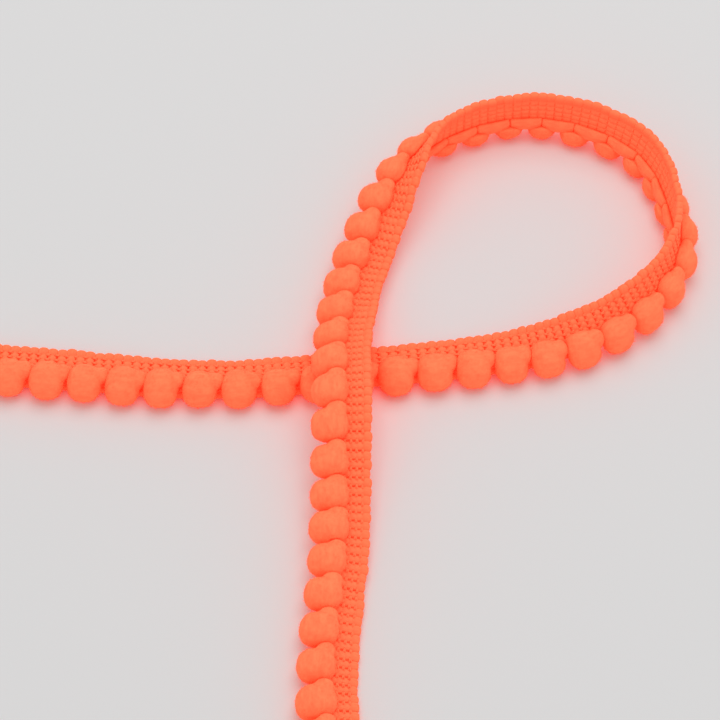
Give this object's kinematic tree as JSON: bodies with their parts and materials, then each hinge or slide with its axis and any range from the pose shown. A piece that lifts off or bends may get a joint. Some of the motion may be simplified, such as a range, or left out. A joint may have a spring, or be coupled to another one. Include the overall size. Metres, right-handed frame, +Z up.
{
  "type": "pompom fringe trim",
  "caption": "Narrow knitted edging tape with a picot edge and a row of small yarn pompoms along the other edge, lying in an open loop that crosses over itself.",
  "frame": {"origin": "centre of the bounding box's underside, on the surface that the trim lies on", "axes": "+Z up from the surface, the shortest extent; the first straight run travels toward +X, and the trim's last run comes back toward -Y over it"},
  "size_m": [0.1223, 0.1262, 0.0111],
  "materials": {
    "knitted_polyester_yarn": "matt knitted yarn",
    "brushed_polyester_yarn": "matt brushed yarn"
  },
  "bodies": {
    "root": {"heading": "knitted_polyester_yarn", "pompom_01": "brushed_polyester_yarn", "pompom_02": "brushed_polyester_yarn", "pompom_03": "brushed_polyester_yarn", "pompom_04": "brushed_polyester_yarn", "pompom_05": "brushed_polyester_yarn", "pompom_06": "brushed_polyester_yarn", "pompom_07": "brushed_polyester_yarn", "pompom_08": "brushed_polyester_yarn", "pompom_09": "brushed_polyester_yarn", "pompom_10": "brushed_polyester_yarn", "pompom_11": "brushed_polyester_yarn", "pompom_12": "brushed_polyester_yarn", "pompom_13": "brushed_polyester_yarn", "pompom_14": "brushed_polyester_yarn", "pompom_15": "brushed_polyester_yarn", "pompom_16": "brushed_polyester_yarn", "pompom_17": "brushed_polyester_yarn", "pompom_18": "brushed_polyester_yarn", "pompom_19": "brushed_polyester_yarn", "pompom_20": "brushed_polyester_yarn", "pompom_21": "brushed_polyester_yarn", "pompom_22": "brushed_polyester_yarn", "pompom_23": "brushed_polyester_yarn", "pompom_24": "brushed_polyester_yarn", "pompom_25": "brushed_polyester_yarn", "pompom_26": "brushed_polyester_yarn", "pompom_27": "brushed_polyester_yarn", "pompom_28": "brushed_polyester_yarn", "pompom_29": "brushed_polyester_yarn", "pompom_30": "brushed_polyester_yarn", "pompom_31": "brushed_polyester_yarn", "pompom_32": "brushed_polyester_yarn", "pompom_33": "brushed_polyester_yarn", "pompom_34": "brushed_polyester_yarn", "pompom_35": "brushed_polyester_yarn", "pompom_36": "brushed_polyester_yarn", "pompom_37": "brushed_polyester_yarn", "pompom_38": "brushed_polyester_yarn", "pompom_39": "brushed_polyester_yarn", "pompom_40": "brushed_polyester_yarn", "pompom_41": "brushed_polyester_yarn", "pompom_42": "brushed_polyester_yarn", "pompom_43": "brushed_polyester_yarn", "pompom_44": "brushed_polyester_yarn", "pompom_45": "brushed_polyester_yarn", "pompom_46": "brushed_polyester_yarn", "pompom_47": "brushed_polyester_yarn", "pompom_48": "brushed_polyester_yarn", "pompom_49": "brushed_polyester_yarn", "pompom_50": "brushed_polyester_yarn", "pompom_51": "brushed_polyester_yarn"}
  },
  "joints": []
}
